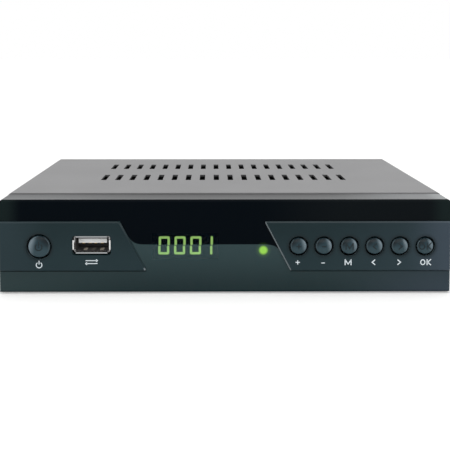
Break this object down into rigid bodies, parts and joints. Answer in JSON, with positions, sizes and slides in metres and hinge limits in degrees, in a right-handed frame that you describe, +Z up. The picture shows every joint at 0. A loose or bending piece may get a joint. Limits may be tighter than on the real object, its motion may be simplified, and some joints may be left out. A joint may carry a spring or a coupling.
{
  "type": "set-top receiver",
  "caption": "Compact set-top television receiver: vented folded-steel case, glossy front with raised control plates, travelling push buttons, lit digits, data socket and rear sockets.",
  "frame": {"origin": "on the floor under the middle of the whole part's box", "axes": "+X to the right seen from the front, +Y from the front to the rear sockets, +Z up"},
  "size_m": [0.1688, 0.1174, 0.0358],
  "materials": {
    "painted_steel": "satin fine-texture paint on folded steel",
    "zinc_steel": "zinc-plated sheet",
    "black_screw": "black oxide",
    "bright_screw": "zinc-plated",
    "rubber": "matte",
    "fascia_plastic": "satin black moulding",
    "smoked_lens": "smoked gloss",
    "control_plate": "fine satin slate",
    "button_plastic": "satin slate",
    "switch_black": "moulded",
    "board_green": "solder mask",
    "display_black": "cast resin",
    "lit_segment": "lit diffuser",
    "lamp_green": "lit clear resin",
    "white_plastic": "moulded",
    "nickel": "nickel-plated",
    "gold_contact": "gold-flashed",
    "brass": "turned",
    "tin_plate": "tin-plated",
    "socket_black": "moulded",
    "socket_orange": "moulded",
    "chip_black": "epoxy",
    "sink_aluminium": "extruded",
    "capacitor_sleeve": "shrink sleeve",
    "ferrite": "ferrite",
    "ribbon_grey": "flexible",
    "header_cream": "moulded"
  },
  "bodies": {
    "receiver": {"base_tray": "zinc_steel", "top_cover": "painted_steel", "rubber_feet": "rubber", "cover_screws": "black_screw", "fascia_screws": "black_screw", "front_fascia": "fascia_plastic", "face_lens": "smoked_lens", "left_control_plate": "control_plate", "right_control_plate": "control_plate", "front_board": "board_green", "front_board_screws": "bright_screw", "switch_bodies": "switch_black", "switch_covers": "tin_plate", "display_module": "display_black", "display_segments": "lit_segment", "status_led": "lamp_green", "led_spacer": "white_plastic", "ir_receiver": "display_black", "data_port_shell": "nickel", "data_port_tongue": "white_plastic", "data_port_contacts": "gold_contact", "main_board": "board_green", "board_standoffs": "brass", "board_screws": "bright_screw", "tuner_can": "tin_plate", "rf_in_socket": "nickel", "rf_out_socket": "nickel", "rf_insulators": "white_plastic", "rf_out_pin": "gold_contact", "av_socket": "socket_black", "av_contacts": "gold_contact", "video_socket_shell": "nickel", "video_socket_tongue": "socket_black", "audio_socket": "socket_orange", "audio_barrel": "nickel", "dc_jack": "socket_black", "dc_jack_pin": "nickel", "processor": "chip_black", "heat_sink": "sink_aluminium", "memory_chips": "chip_black", "capacitors": "capacitor_sleeve", "inductors": "ferrite", "crystal": "tin_plate", "ribbon_headers": "header_cream", "ribbon_cable": "ribbon_grey"},
    "power_key": {"power_button": "button_plastic", "power_plunger": "switch_black"},
    "plus_key": {"plus_button": "button_plastic", "plus_plunger": "switch_black"},
    "minus_key": {"minus_button": "button_plastic", "minus_plunger": "switch_black"},
    "menu_key": {"menu_button": "button_plastic", "menu_plunger": "switch_black"},
    "left_key": {"left_button": "button_plastic", "left_plunger": "switch_black"},
    "right_key": {"right_button": "button_plastic", "right_plunger": "switch_black"},
    "ok_key": {"ok_button": "button_plastic", "ok_plunger": "switch_black"}
  },
  "joints": [
    {"name": "power_press", "type": "slide", "parent": "receiver", "child": "power_key", "axis": [0, 1, 0], "range_m": [0, 0.0005], "stiffness_N_per_m": 1200},
    {"name": "plus_press", "type": "slide", "parent": "receiver", "child": "plus_key", "axis": [0, 1, 0], "range_m": [0, 0.0005], "stiffness_N_per_m": 1200},
    {"name": "minus_press", "type": "slide", "parent": "receiver", "child": "minus_key", "axis": [0, 1, 0], "range_m": [0, 0.0005], "stiffness_N_per_m": 1200},
    {"name": "menu_press", "type": "slide", "parent": "receiver", "child": "menu_key", "axis": [0, 1, 0], "range_m": [0, 0.0005], "stiffness_N_per_m": 1200},
    {"name": "left_press", "type": "slide", "parent": "receiver", "child": "left_key", "axis": [0, 1, 0], "range_m": [0, 0.0005], "stiffness_N_per_m": 1200},
    {"name": "right_press", "type": "slide", "parent": "receiver", "child": "right_key", "axis": [0, 1, 0], "range_m": [0, 0.0005], "stiffness_N_per_m": 1200},
    {"name": "ok_press", "type": "slide", "parent": "receiver", "child": "ok_key", "axis": [0, 1, 0], "range_m": [0, 0.0005], "stiffness_N_per_m": 1200}
  ]
}
